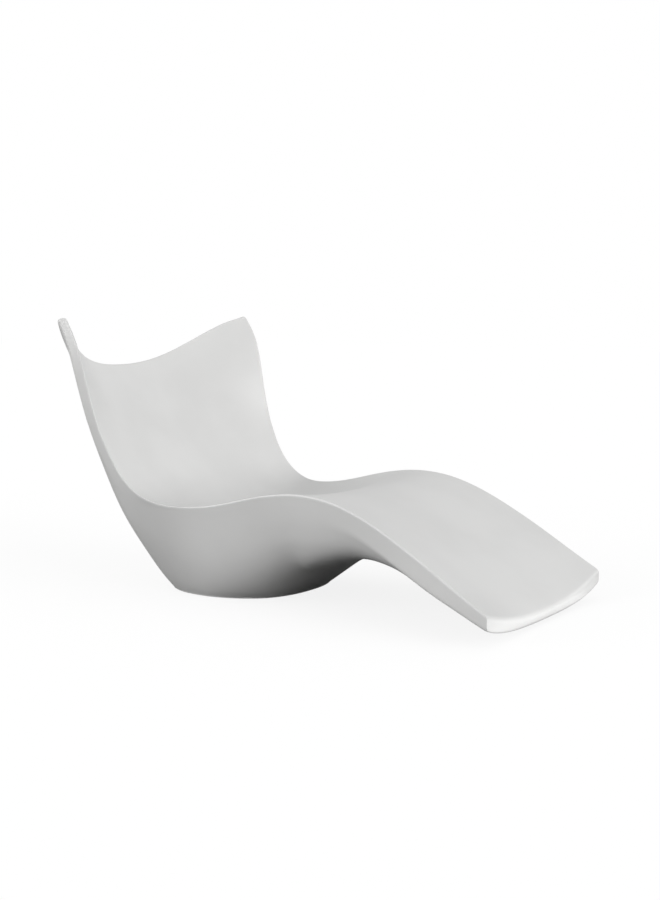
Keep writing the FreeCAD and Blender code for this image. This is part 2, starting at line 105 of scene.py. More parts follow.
# How each cross-section changes along the body, one share for each station
DIP_SHARES = np.array([0.7, 0.62, 0.45, 0.25, 0.1] + [0] * 18)
BUCKET_SHARES = np.array([0, 0, 0, 0.05, 0.15, 0.32, 0.57, 0.47, 0.42, 0.44, 0.47, 0.42, 0.27, 0.35, 0.46,
                          0.48, 0.49, 0.45, 0.06, 0, 0, 0, 0])
FLAT_SHARES = np.array([0] * 16 + [0.05, 0.1, 0.2, 0.3, 0.4, 0.5, 0.6])
BAND_TURN_SHARES = np.array([0, 0, 0, 0, 0, 0.1, 0.3, 0.6, 0.85] + [1] * 14)
BAND_WIDTH_SHARES = (
    np.array([0.05, 0.26, 0.2, 0.07, 0.03, 0.25, 0.55, 0.85, 1, 1]),
    np.array([0.1, 0.16, 0.2, 0.23, 0.23]),
    np.array([0.82, 0.85, 0.81, 0.81, 0.82, 0.92, 0.97, 1]))
SIDE_LEAN_SHARES = np.array([0, 0, 0, 0.03, 0.11, 0.17, 0.22, 0.24, 0.23, 0.22, 0.2, 0.2, 0.19, 0.18, 0.17,
                             0.16, 0.14, 0.12, 0.09, 0.04, 0.03, 0.02, 0.02])
SIDE_FILLET_SHARES = np.array([0] * 6 + [0.1, 0.3, 0.6, 0.7, 0.8, 0.9, 1, 1, 0.8, 0.4, 0.1] + [0] * 6)

# Cross-section columns from the middle to the rim
ACROSS_SHARES = np.array([0, 0.2, 0.42, 0.62, 0.8, 0.92])
BUCKET_BASE_SHARES = np.array([0, 0.4, 0.71, 1.02, 0.5, 0.2])
BUCKET_SIDE_SHARES = np.array([0, 0, 0, 0, 0.5, 0.8])
BUCKET_Z_SHARES = np.array([0, 0, 0.03, 0.02, 0.12, 0.42])
CROWN_POWER = 2.3
FLAT_POWER = 5
DIP_POWER = 1.53
BACK_BAND_DIRECTION = np.array([-0.98, 0, -0.2])
BACK_MIDDLE_DIRECTION = np.array([-0.66, 0, -0.75])
SIDE_DOWN = np.array([0, 0, -1.0])
MIRROR_ACROSS = np.array([1, -1, 1])
ON_FLOOR = np.array([1, 1, 0])
UPWARD = np.array([0, 0, 1])

# Fineness of the meshes
STATIONS_ALONG = 200
PLACES_ACROSS = 110
BAND_ROWS = 8
SKIN_ROWS = 76
EDGE_ROWS = 5
FLOOR_ROWS = 8
BASE_MIDDLE_SHARES = np.array([0.44, 0.5])
HALVINGS = 40
TURNED_ANGLES = 144
QUARTER_TURN = math.pi / 2
THREAD_STEPS = 10
TREAD_STEPS = 97
KNURL_STEPS = 65
WELD = 1e-6
MERGE = WELD * 10
SHARP_ANGLE = math.radians(35)


def length(name, description, millimetres):
    """A length that a user can set, given in millimetres."""
    return FloatProperty(name=name, description=description, default=millimetres * MM, min=0.0, precision=4,
                         unit="LENGTH", subtype="DISTANCE")


def number(name, description, default, least):
    """A whole number that a user can set."""
    return IntProperty(name=name, description=description, default=default, min=least)


def brightness(name, description, default):
    """Strength of a light that a user can set."""
    return FloatProperty(name=name, description=description, default=default, min=0.0)


def colour(name, description, default):
    """A colour that a user can set."""
    return FloatVectorProperty(name=name, description=description, default=default, size=3, min=0.0, max=1.0,
                               subtype="COLOR")


def share(name, description, default):
    """A part of a whole that a user can set."""
    return FloatProperty(name=name, description=description, default=default, min=0.0, max=1.0,
                         subtype="FACTOR")


def rotation(name, description, degrees):
    """An angle that a user can set, given in degrees."""
    return FloatProperty(name=name, description=description, default=math.radians(degrees), subtype="ANGLE",
                         unit="ROTATION")


class LoungerBody(bpy.types.PropertyGroup):
    """Sizes of the moulded body."""
    wing_height: length("Wing height", "Rim height at the raised corners of the back", 991)
    wing_span: length("Wing span", "Rim to rim across the raised corners", 1057)
    wing_setback: length("Wing setback", "Raised corners behind the origin", 402)
    back_height: length("Back height", "Top edge of the back at its middle", 799)
    back_wrap: length("Back wrap", "Middle of the top edge behind the raised corners", 225)
    tip_rounding: length("Tip rounding", "How far the raised corners are drawn in", 10)
    hip_height: length("Hip height", "Lowest point of the rim, beside the seat", 337)
    hip_width: length("Hip width", "Rim to rim beside the seat", 829)
    hip_advance: length("Hip advance", "Lowest rim point ahead of the origin", 56)
    seat_height: length("Seat height", "Lowest point of the seat", 246)
    seat_advance: length("Seat advance", "Lowest seat point ahead of the origin", 29)
    knee_height: length("Knee height", "Rim height at the knee", 413)
    knee_width: length("Knee width", "Rim to rim at the knee", 821)
    knee_advance: length("Knee advance", "Knee ahead of the origin", 515)
    knee_dish: length("Knee dish", "Seat below the rim at the knee", 22)
    foot_advance: length("Foot advance", "Foot end ahead of the origin", 1203)
    foot_width: length("Foot width", "Rim to rim at the foot end", 872)
    foot_height: length("Foot height", "Rim height at the foot end", 104)
    foot_dish: length("Foot dish", "Top surface below the rim at the foot end", 60)
    foot_clearance: length("Foot clearance", "Underside of the foot end above the base's underside", 9)
    foot_edge: length("Foot edge", "Height of the rim band at the foot end", 50)
    edge_thickness: length("Edge thickness", "Width of the rim band round the back", 46)
    edge_radius: length("Edge radius", "Reach of the rounding along the rim", 11)
    side_fillet: length("Side fillet", "Reach of the rounding from the rim band into the base's side", 47)
    hip_side_drop: length("Hip side drop", "Rim band's lower line below the rim beside the seat", 50)
    knee_side_drop: length("Knee side drop", "Rim band's lower line below the rim at the knee", 230)
    base_length: length("Base length", "Footprint along X", 533)
    base_width: length("Base width", "Footprint along Y", 587)
    base_bilge: length("Base bilge", "Depth of the base's bowl below the floor cut", 107)
    arch_height: length("Arch height", "Underside of the leg above the floor at the arch", 178)
    floor_edge: length("Floor edge", "Rounding between the base's side and its flat underside", 4)


class LoungerPorts(bpy.types.PropertyGroup):
    """Sizes of the ballast ports, from the flat seat of a port outwards."""
    seat_depth: length("Seat depth", "Flat port seat below the skin", 7)
    seat_diameter: length("Seat diameter", "Flat port seat", 70)
    lip_flare: length("Lip flare", "Rounding of the moulded lip round a port", 3)
    lip_margin: length("Lip margin", "How far the lip's cut runs past the skin", 5)
    flange_diameter: length("Flange diameter", "Bush flange", 66)
    flange_height: length("Flange height", "Bush flange", 4)
    bush_diameter: length("Bush diameter", "Bush sleeve", 44)
    bush_length: length("Bush length", "Bush sleeve below its flange", 30)
    bore: length("Bore", "Bush bore at its thread's crests", 32)
    seal_diameter: length("Seal diameter", "Sealing ring, outside", 46)
    seal_height: length("Seal height", "Sealing ring", 2.5)
    plug_clearance: length("Plug clearance", "Plug thread to bush bore, on the radius", 0.08)
    shank_length: length("Shank length", "Plug shank below its head", 22)
    head_diameter: length("Head diameter", "Plug head", 54)
    head_height: length("Head height", "Plug head", 9)
    slot_width: length("Slot width", "Driving slot in the plug head", 5)
    slot_depth: length("Slot depth", "Driving slot in the plug head", 4)
    grips: number("Grips", "Finger flutes round the plug head", 12, 3)
    grip_depth: length("Grip depth", "Finger flute", 3.2)
    thread_pitch: length("Thread pitch", "Plug travel in one turn", 4)
    thread_depth: length("Thread depth", "Plug thread", 1.2)
    edge: length("Edge", "Rounding of moulded edges", 1.2)


class LoungerFeet(bpy.types.PropertyGroup):
    """Sizes of the pads, their screws and inserts, from the base's underside upwards."""
    pad_diameter: length("Pad diameter", "Non-slip pad", 58)
    pad_height: length("Pad height", "Non-slip pad", 8)
    pad_stand: length("Pad stand", "Pad below the base's underside", 2)
    pad_play: length("Pad play", "Pad to its pocket, on the radius", 0.3)
    tread_pitch: length("Tread pitch", "From one groove of the tread to the next", 4)
    tread_depth: length("Tread depth", "Grooves of the tread", 1)
    tread_bars: number("Tread bars", "Bars across the tread's grooves", 12, 0)
    screw_diameter: length("Screw diameter", "Pad screw", 6)
    screw_length: length("Screw length", "Pad screw below its head", 18)
    screw_head: length("Screw head", "Diameter of the pad screw's head", 13)
    screw_head_height: length("Screw head height", "Pad screw's head", 3.5)
    screw_head_cover: length("Screw head cover", "Pad screw's head above the pad's foot", 1.5)
    screw_play: length("Screw play", "Screw head and shank to the pad, on the radius", 0.3)
    screw_pitch: length("Screw pitch", "Thread of the pad screw", 1)
    screw_thread: length("Screw thread", "Depth of the pad screw's thread", 0.5)
    key_size: length("Key size", "Hexagon socket, across its flats", 4)
    key_depth: length("Key depth", "Hexagon socket", 2)
    insert_diameter: length("Insert diameter", "Threaded insert", 11)
    insert_length: length("Insert length", "Threaded insert", 16)
    insert_play: length("Insert play", "Screw to insert bore, on the radius", 0.05)
    knurl_depth: length("Knurl depth", "Knurl of the insert", 0.25)
    edge: length("Edge", "Rounding of edges", 0.6)


class LoungerFinish(bpy.types.PropertyGroup):
    """Colours of the pieces."""
    shell: colour("Shell", "Moulded body", (0.57, 0.57, 0.565))
    bush: colour("Bush", "Port bushes", (0.30, 0.31, 0.32))
    plug: colour("Plug", "Screw plugs", (0.40, 0.41, 0.41))
    seal: colour("Seal", "Sealing rings", (0.012, 0.012, 0.013))
    pad: colour("Pad", "Non-slip pads", (0.035, 0.036, 0.038))
    screw: colour("Screw", "Pad screws", (0.58, 0.57, 0.56))
    insert: colour("Insert", "Threaded inserts", (0.66, 0.46, 0.19))
    shell_roughness: share("Shell roughness", "Satin of the moulded body", 0.36)


class LoungerStage(bpy.types.PropertyGroup):
    """Camera, floor and lights."""
    eye: FloatVectorProperty(name="Eye", description="Place of the camera", default=(2.973, -3.985, 1.008),
                             size=3, subtype="TRANSLATION", unit="LENGTH")
    heading: rotation("Heading", "Camera's turn from +Y towards -X", 33.25)
    dip: rotation("Dip", "Camera's tilt below the horizon", 5.92)
    lens: FloatProperty(name="Lens", description="Focal length in millimetres", default=54.0, min=1.0)
    floor_size: length("Floor size", "Side of the floor", 60000)
    floor: colour("Floor", "Pale floor", (1.0, 1.0, 1.0))
    floor_glow: share("Floor glow", "How far the floor fades its shadows for the camera", 0.86)
    floor_bounce: share("Floor bounce", "Light that the floor throws back at the lounger", 0.21)
    sky: brightness("Sky", "Light from the white surroundings", 0.72)
    key: brightness("Key", "Strength of the light beyond the foot end", 2.7)
    side: brightness("Side", "Strength of the light beside the back", 2.45)
    key_heading: rotation("Key heading", "Direction of the light beyond the foot end, from +X to +Y", 0.0)
    side_heading: rotation("Side heading", "Direction of the light beside the back, from +X to +Y", -126.0)
    light_height: rotation("Light height", "Lights above the horizon", 8.0)
    softness: rotation("Softness", "How wide the lights look from the lounger", 50.0)
    fill: brightness("Fill", "Watts of the low light before the foot end", 1.1)
    fill_reach: length("Fill reach", "Low light along X", 250)
    fill_span: length("Fill span", "Low light along Y", 900)
    fill_gap: length("Fill gap", "Middle of the low light ahead of the foot end", 160)
    fill_lift: length("Fill lift", "Low light above the floor", 3)


def unit(vectors):
    """Each vector divided by its length."""
    return vectors / np.maximum(np.linalg.norm(vectors, axis=-1, keepdims=True), WELD)


def towards(start, end, distance):
    """Points at a distance from start on the way to end."""
    return start + unit(end - start) * distance


def stations(anchors, tables):
    """Points of a line: from each pair of anchors, start + (end - start) * share on each axis."""
    runs = [start + (end - start) * np.array(shares) for (start, end), shares in zip(anchors, tables)]
    return np.vstack(runs)


def body_lines(sizes):
    """Rim, seat, lower band and keel lines, one point of each for every station along the body."""
    rim_top = np.array([-sizes.wing_setback, sizes.wing_span / 2, sizes.wing_height])
    rim_hip = np.array([sizes.hip_advance, sizes.hip_width / 2, sizes.hip_height])
    rim_knee = np.array([sizes.knee_advance, sizes.knee_width / 2, sizes.knee_height])
    rim_foot = np.array([sizes.foot_advance, sizes.foot_width / 2, sizes.foot_height])
    seat_top = np.array([-sizes.wing_setback - sizes.back_wrap, 0, sizes.back_height])
    seat_hip = np.array([sizes.seat_advance, 0, sizes.seat_height])
    seat_knee = np.array([sizes.knee_advance, 0, sizes.knee_height - sizes.knee_dish])
    seat_foot = np.array([sizes.foot_advance, 0, sizes.foot_height - sizes.foot_dish])
    keel_top = seat_top + BACK_MIDDLE_DIRECTION * sizes.edge_thickness
    heel = np.array([-sizes.base_length / 2, 0, 0])
    toe = np.array([sizes.base_length / 2, 0, 0])
    bilge_toe = np.array([sizes.base_length / 2, 0, -sizes.base_bilge])
    keel_foot = np.array([sizes.foot_advance, 0, sizes.foot_clearance])
    crown = np.array([toe[0] + (keel_foot[0] - toe[0]) * ARCH_CROWN_SHARE, 0, sizes.arch_height])

    rim = stations([(rim_top, rim_hip), (rim_hip, rim_knee), (rim_knee, rim_foot)], RIM_SHARES)
    seat = stations([(seat_top, seat_hip), (seat_hip, seat_knee), (seat_knee, seat_foot)], SEAT_SHARES)
    keel = stations([(keel_top, heel), (heel, bilge_toe), (toe, crown), (crown, keel_foot)], KEEL_SHARES)

    stops = [sizes.edge_thickness, sizes.hip_side_drop, sizes.knee_side_drop, sizes.foot_edge]
    widths = np.concatenate([start + (end - start) * shares
                             for start, end, shares in zip(stops, stops[1:], BAND_WIDTH_SHARES)])
    turn = BAND_TURN_SHARES[:, None]
    direction = BACK_BAND_DIRECTION * (1 - turn) + SIDE_DOWN * turn
    direction[:, 1] -= SIDE_LEAN_SHARES
    band = rim + unit(direction) * widths[:, None]
    return rim, seat, band, keel


def half_net(sizes, middle, side, other_side, bucketed):
    """Poles of one skin from its middle to its rolled rim: a crown across ** power, bent to the bucket."""
    side = side.copy()
    inward = middle[0] + (side[1] - middle[0]) * ACROSS_SHARES[-1]
    side[0] = towards(side[0], inward, sizes.tip_rounding)
    crown = ACROSS_SHARES ** CROWN_POWER
    wave = (1 - np.cos(np.pi * ACROSS_SHARES ** DIP_POWER)) / 2
    bucket = BUCKET_SHARES[:, None] * bucketed
    flat = FLAT_SHARES[:, None] * bucketed
    plain_y = side[:, 1:2] * ACROSS_SHARES
    bucket_y = sizes.base_width / 2 * BUCKET_BASE_SHARES + side[:, 1:2] * BUCKET_SIDE_SHARES
    rise = crown + (wave - crown) * DIP_SHARES[:, None] + (ACROSS_SHARES ** FLAT_POWER - crown) * flat
    rise = rise + (BUCKET_Z_SHARES - rise) * bucket
    step = side - middle
    poles = np.stack([middle[:, :1] + step[:, :1] * crown,
                      plain_y + (bucket_y - plain_y) * bucket,
                      middle[:, 2:] + step[:, 2:] * rise], axis=-1)
    fillet = SIDE_FILLET_SHARES[:, None] * bucketed
    reach = sizes.edge_radius + (sizes.side_fillet - sizes.edge_radius) * fillet
    rolled = [towards(side, poles[:, -1], reach), side, towards(side, other_side, reach)]
    return np.concatenate([poles, np.stack(rolled, axis=1)], axis=1)


def whole_net(sizes, half, other_half):
    """A half net with its rolled end rows added, and its mirror image across the middle."""
    reach = sizes.edge_radius
    gap = np.linalg.norm(half[-1] - other_half[-1], axis=-1, keepdims=True)
    foot_reach = np.minimum(reach, gap * FOOT_ROLL_SHARE)
    rows = [towards(half[0], other_half[0], reach)[None], half[:1], towards(half[0], half[1], reach)[None],
            half[1:-1], towards(half[-1], half[-2], reach)[None], half[-1:],
            towards(half[-1], other_half[-1], foot_reach)[None]]
    net = np.concatenate(rows)
    return np.concatenate([net[:, :0:-1] * MIRROR_ACROSS, net], axis=1)


def spline_weights(count, places, degree=3):
    """Weights of a clamped uniform spline's poles at places from 0 to 1, degree by degree from its steps."""
    spans = count - degree
    knots = np.concatenate([np.zeros(degree), np.arange(spans + 1), np.full(degree, spans)]).astype(float)
    at = np.clip(np.asarray(places, float) * spans, 0, spans - WELD)[:, None]
    weights = ((knots[:-1] <= at) & (at < knots[1:])).astype(float)
    for order in range(1, degree + 1):
        rising = knots[order:-1] - knots[:-order - 1]
        falling = knots[order + 1:] - knots[1:-order]
        up = np.where(rising > 0, (at - knots[:-order - 1]) / np.maximum(rising, WELD), 0)
        down = np.where(falling > 0, (knots[order + 1:] - at) / np.maximum(falling, WELD), 0)
        weights = up * weights[:, :-1] + down * weights[:, 1:]
    return weights


def skin_grid(net, along, across):
    """Spline skin on a grid: the pole net weighted along and across."""
    return np.einsum("ai,ijc,bj->abc", spline_weights(net.shape[0], along), net,
                     spline_weights(net.shape[1], across), optimize=True)


def skin_points(net, places):
    """Spline skin at single places (along, across)."""
    columns = np.einsum("ki,ijc->kjc", spline_weights(net.shape[0], places[:, 0]), net)
    return np.einsum("kj,kjc->kc", spline_weights(net.shape[1], places[:, 1]), columns)


def perimeter(along, across):
    """Places round the edge of a skin: one side, the foot end, the other side and the top edge."""
    near = np.stack([along[:-1], np.zeros(len(along) - 1)], axis=1)
    foot = np.stack([np.ones(len(across) - 1), across[:-1]], axis=1)
    far = np.stack([along[:0:-1], np.ones(len(along) - 1)], axis=1)
    top = np.stack([np.zeros(len(across) - 1), across[:0:-1]], axis=1)
    return np.concatenate([near, foot, far, top])


def floor_crossing(net, ring, level):
    """Share of the way out from the base's middle at which the skin rises past a level, by halving."""
    low = np.zeros(len(ring))
    high = np.ones(len(ring))
    for _ in range(HALVINGS):
        middle = (low + high) / 2
        places = BASE_MIDDLE_SHARES + (ring - BASE_MIDDLE_SHARES) * middle[:, None]
        below = skin_points(net, places)[:, 2] < level
        low = np.where(below, middle, low)
        high = np.where(below, high, middle)
    return high


def rim_nearness(places):
    """One on the rolled edge of a skin, falling to zero away from it: the larger of two high powers."""
    across_power = 24
    along_power = 48
    offset = np.abs(2 * places - 1)
    return np.maximum(offset[..., 1] ** across_power, offset[..., 0] ** along_power)


def grid_faces(rows, columns, wrap_rows=False, wrap_columns=False):
    """Corner numbers of the quads of a grid, closed on itself where it wraps."""
    numbers = np.arange(rows * columns).reshape(rows, columns)
    if wrap_rows:
        numbers = np.concatenate([numbers, numbers[:1]])
    if wrap_columns:
        numbers = np.concatenate([numbers, numbers[:, :1]], axis=1)
    corners = [numbers[:-1, :-1], numbers[1:, :-1], numbers[1:, 1:], numbers[:-1, 1:]]
    return np.stack(corners, axis=-1).reshape(-1, 4)


def mesh_from(name, points, faces, attributes=None):
    """A welded, smooth mesh with its faces outwards, from points, quads and point attributes."""
    mesh = bpy.data.meshes.new(name)
    mesh.from_pydata(points.tolist(), [], faces.tolist())
    for label, values in (attributes or {}).items():
        layer = mesh.attributes.new(label, "FLOAT", "POINT")
        layer.data.foreach_set("value", values.astype(np.float32))
    work = bmesh.new()
    work.from_mesh(mesh)
    bmesh.ops.remove_doubles(work, verts=work.verts, dist=MERGE)
    bmesh.ops.dissolve_degenerate(work, edges=work.edges, dist=WELD)
    bmesh.ops.recalc_face_normals(work, faces=work.faces)
    work.to_mesh(mesh)
    work.free()
    mesh.shade_smooth()
    return mesh


def show(name, data):
    """A new object in the scene, of a mesh, a light or a camera."""
    item = bpy.data.objects.new(name, data)
    bpy.context.scene.collection.objects.link(item)
    return item


def add_piece(name, mesh, material, body, node):
    """Shows a mesh as the piece that stands for a node, riding on the node's body."""
    piece = show(name, mesh)
    mesh.materials.clear()
    mesh.materials.append(material)
    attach(piece, body)
    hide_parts(node)


def carve(mesh, cutters):
    """The mesh with the cutter meshes taken out of it, and its new edges left crisp."""
    stock = show("carved", mesh)
    tool = show("cutters", join(cutters))
    cut = stock.modifiers.new("cut", "BOOLEAN")
    cut.operation = "DIFFERENCE"
    cut.solver = "EXACT"
    cut.object = tool
    depsgraph = bpy.context.evaluated_depsgraph_get()
    carved = bpy.data.meshes.new_from_object(stock.evaluated_get(depsgraph))
    carved.name = mesh.name
    bpy.data.objects.remove(stock)
    bpy.data.objects.remove(tool)
    if len(carved.polygons) == len(mesh.polygons):
        raise RuntimeError("nothing was carved from " + mesh.name)
    carved.set_sharp_from_angle(angle=SHARP_ANGLE)
    return carved


def join(meshes):
    """One mesh of several."""
    work = bmesh.new()
    for mesh in meshes:
        work.from_mesh(mesh)
    joined = bpy.data.meshes.new("joined")
    work.to_mesh(joined)
    work.free()
    return joined


class Placement:
    """A place and an outward axis: local +Z turned to the axis by the shortest way, then moved."""

    def __init__(self, place, axis=(0, 0, 1)):
        self.turn = np.array(Vector((0, 0, 1)).rotation_difference(Vector(axis)).to_matrix())
        self.place = np.array(place)

    def __call__(self, points):
        return points @ self.turn.T + self.place


def port_placement(port):
    """Seat of a port, from the joint that turns its plug."""
    joint = JOINTS[port + "_plug_turn"]
    return Placement(joint["pos_m"], joint["axis"])


def pad_placement(index):
    """Middle of a pad, on the base's underside."""
    low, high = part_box("foot_pad_%d" % index)
    return Placement(((low.x + high.x) / 2, (low.y + high.y) / 2, 0))


def round_profile(corners, radius, steps=4):
    """A closed profile (radius, height) with each corner a quadratic curve between two points beside it."""
    corners = np.array(corners, float)
    before = np.roll(corners, 1, axis=0)
    after = np.roll(corners, -1, axis=0)
    reach_before = np.minimum(radius, np.linalg.norm(before - corners, axis=1, keepdims=True) / 2)
    reach_after = np.minimum(radius, np.linalg.norm(after - corners, axis=1, keepdims=True) / 2)
    start = towards(corners, before, reach_before)
    end = towards(corners, after, reach_after)
    at = np.linspace(0, 1, steps)[None, :, None]
    curve = start[:, None] * (1 - at) ** 2 + corners[:, None] * 2 * at * (1 - at) + end[:, None] * at ** 2
    return curve.reshape(-1, 2)


def arc(radius, height, reach, start, end):
    """Part of a circle in a profile: (radius + reach cos a, height + reach sin a), a from start to end."""
    bend = np.linspace(start, end, EDGE_ROWS)
    return np.stack([radius + reach * np.cos(bend), height + reach * np.sin(bend)], axis=1)


def upright(radius, heights):
    """Profile points at one radius, one for each height."""
    return np.stack([np.full(len(heights), radius), heights], axis=1)


def turned(name, profile, placement, shape=None, closed=False):
    """A profile (r, h) turned about local Z by angles a: (r cos a, r sin a, h), with r and h shaped by a."""
    angles = np.linspace(0, 2 * math.pi, TURNED_ANGLES, endpoint=False)
    radius = np.repeat(profile[:, :1], TURNED_ANGLES, axis=1)
    height = np.repeat(profile[:, 1:], TURNED_ANGLES, axis=1)
    angle = np.repeat(angles[None], len(profile), axis=0)
    if shape is not None:
        radius, height = shape(angle, radius, height)
    points = np.stack([radius * np.cos(angle), radius * np.sin(angle), height], axis=-1)
    faces = grid_faces(len(profile), TURNED_ANGLES, wrap_rows=closed, wrap_columns=True)
    mesh = mesh_from(name, placement(points.reshape(-1, 3)), faces)
    mesh.set_sharp_from_angle(angle=SHARP_ANGLE)
    return mesh


def block(name, half_lengths, middle, placement):
    """A box by its half lengths and its middle."""
    signs = np.array([(x, y, z) for x in (-1, 1) for y in (-1, 1) for z in (-1, 1)])
    faces = np.array([(0, 1, 3, 2), (4, 6, 7, 5), (0, 4, 5, 1), (2, 3, 7, 6), (0, 2, 6, 4), (1, 5, 7, 3)])
    return mesh_from(name, placement(signs * np.array(half_lengths) + np.array(middle)), faces)


def thread_heights(low, high, pitch):
    """Heights along a thread, several to a pitch."""
    return np.linspace(low, high, int(round((high - low) / pitch * THREAD_STEPS)) + 1)


def thread_root(angle, height, pitch, depth):
    """A right-hand thread below its crest: depth * (1 - a clipped wave of height / pitch - turns)."""
    sharpness = 1.6
    wave = np.cos(2 * math.pi * (height / pitch) - angle)
    return depth * (1 - np.clip(0.5 + wave * sharpness / 2, 0, 1))


def connect(tree, entry, value):
    """Links a value to an input of a node, or sets the input to a constant."""
    if isinstance(value, Value):
        tree.links.new(value.socket, entry)
    else:
        entry.default_value = value


class Value:
    """A value in a material's node tree: arithmetic on it adds Math nodes."""

    def __init__(self, tree, socket):
        self.tree = tree
        self.socket = socket

    def maths(self, operation, *values):
        node = self.tree.nodes.new("ShaderNodeMath")
        node.operation = operation
        for entry, value in zip(node.inputs, values):
            connect(self.tree, entry, value)
        return Value(self.tree, node.outputs[0])

    def __add__(self, other):
        return self.maths("ADD", self, other)

    def __radd__(self, other):
        return self.maths("ADD", other, self)

    def __sub__(self, other):
        return self.maths("SUBTRACT", self, other)

    def __rsub__(self, other):
        return self.maths("SUBTRACT", other, self)

    def __mul__(self, other):
        return self.maths("MULTIPLY", self, other)

    def __rmul__(self, other):
        return self.maths("MULTIPLY", other, self)


class Finish:
    """A material under construction: its node tree, its shader and the shared ways to add nodes."""

    def __init__(self, name):
        self.material = bpy.data.materials.new(name)
        self.material.use_nodes = True
        self.tree = self.material.node_tree
        self.shader = next(node for node in self.tree.nodes if node.type == "BSDF_PRINCIPLED")

    def add(self, kind, output=0, settings=None, **inputs):
        """Adds a node of a kind, with its settings and then the values or links of its inputs."""
        node = self.tree.nodes.new(kind)
        for key, value in (settings or {}).items():
            setattr(node, key, value)
        self.feed(node, inputs)
        return Value(self.tree, node.outputs[output])

    def feed(self, node, inputs):
        """Sets or links inputs, by names with underscores for spaces or by an underscore and a number."""
        for key, value in inputs.items():
            entry = node.inputs[int(key[1:])] if key[1:].isdigit() else node.inputs[key.replace("_", " ")]
            connect(self.tree, entry, value)

    def place(self):
        """Object coordinates."""
        return self.add("ShaderNodeTexCoord", "Object")

    def noise(self, scale, detail, roughness=0.5, stretch=None):
        """Noise from 0 to 1 on Object coordinates, at a scale in waves to the metre."""
        place = self.place()
        if stretch is not None:
            place = self.add("ShaderNodeMapping", "Vector", Vector=place, Scale=stretch)
        return self.add("ShaderNodeTexNoise", "Fac", Vector=place, Scale=scale, Detail=detail,
                        Roughness=roughness)

    def ramp(self, value, low, high):
        """From 0 at low to 1 at high, smoothly."""
        return self.add("ShaderNodeMapRange", "Result", {"interpolation_type": "SMOOTHSTEP"}, Value=value,
                        From_Min=low, From_Max=high)

    def mixed(self, share_value, first, second):
        """A colour between two colours."""
        return self.add("ShaderNodeMix", 2, {"data_type": "RGBA"}, _0=share_value, _6=first, _7=second)

    def bump(self, height, distance):
        """A bumped normal from a height in units of a distance."""
        return self.add("ShaderNodeBump", "Normal", Height=height, Distance=distance, Strength=1.0)

    def finish(self, **inputs):
        """Feeds the shader and gives the material."""
        self.feed(self.shader, inputs)
        return self.material


def tint(base, factor):
    """A colour made lighter or darker by a factor, opaque."""
    return tuple(min(1.0, channel * factor) for channel in base) + (1.0,)


def swing(noise, width):
    """A noise from 0 to 1 as a value within half a width of zero."""
    return (noise - 0.5) * width


def shell_material(finish):
    """Satin moulded plastic: faint clouding, a fine mould grain, polished rims and a scuffed lower edge."""
    scuff_top = 50 * MM
    scuff_cover = 0.2
    scuff_dulling = 0.15
    rim_cover = 0.35
    rim_polish = 0.05
    grain_relief = 0.35
    look = Finish("shell_polyethylene")
    cloud = look.noise(scale=3.0, detail=3.0)
    grain = look.noise(scale=420.0, detail=2.0)
    peel = look.noise(scale=95.0, detail=1.0)
    streaks = look.noise(scale=26.0, detail=4.0, stretch=(1.0, 1.0, 6.0))
    rim = look.add("ShaderNodeAttribute", "Fac", {"attribute_name": "rim"})
    height = look.add("ShaderNodeSeparateXYZ", "Z", Vector=look.place())
    scuff = (1 - look.ramp(height, low=0.0, high=scuff_top)) * look.ramp(streaks, low=0.45, high=0.75)
    clouded = look.mixed(look.ramp(cloud, low=0.3, high=0.7), tint(finish.shell, factor=0.97),
                         tint(finish.shell, factor=1.03))
    worn = look.mixed(rim * rim_cover, clouded, tint(finish.shell, factor=0.99))
    scuffed = look.mixed(scuff * scuff_cover, worn, tint(finish.shell, factor=0.72))
    uneven = finish.shell_roughness + swing(cloud, width=0.06) + swing(grain, width=0.08)
    roughness = uneven - rim * rim_polish + scuff * scuff_dulling
    relief = look.bump(grain * grain_relief + peel, distance=0.06 * MM)
    return look.finish(Base_Color=scuffed, Roughness=roughness, Normal=relief, IOR=1.5,
                       Specular_IOR_Level=0.5)


def plastic_material(name, base, roughness):
    """Moulded filled plastic: mottled, with a fine grain."""
    look = Finish(name)
    mottle = look.noise(scale=240.0, detail=4.0)
    grain = look.noise(scale=1800.0, detail=2.0)
    body = look.mixed(look.ramp(mottle, low=0.3, high=0.7), tint(base, factor=0.88), tint(base, factor=1.1))
    uneven = roughness + swing(mottle, width=0.16) + swing(grain, width=0.1)
    return look.finish(Base_Color=body, Roughness=uneven, Normal=look.bump(grain, distance=0.06 * MM))


def rubber_material(name, base, roughness):
    """Moulded rubber: matt, with a dusty bloom and a coarse grain."""
    dust_cover = 0.5
    dust_dulling = 0.14
    look = Finish(name)
    bloom = look.noise(scale=130.0, detail=4.0, roughness=0.6)
    grain = look.noise(scale=1400.0, detail=3.0)
    dust = look.ramp(bloom, low=0.5, high=0.8)
    body = look.mixed(dust * dust_cover, tint(base, factor=0.9), tint(base, factor=2.2))
    uneven = roughness + dust * dust_dulling + swing(grain, width=0.12)
    return look.finish(Base_Color=body, Roughness=uneven, Normal=look.bump(grain, distance=0.12 * MM))


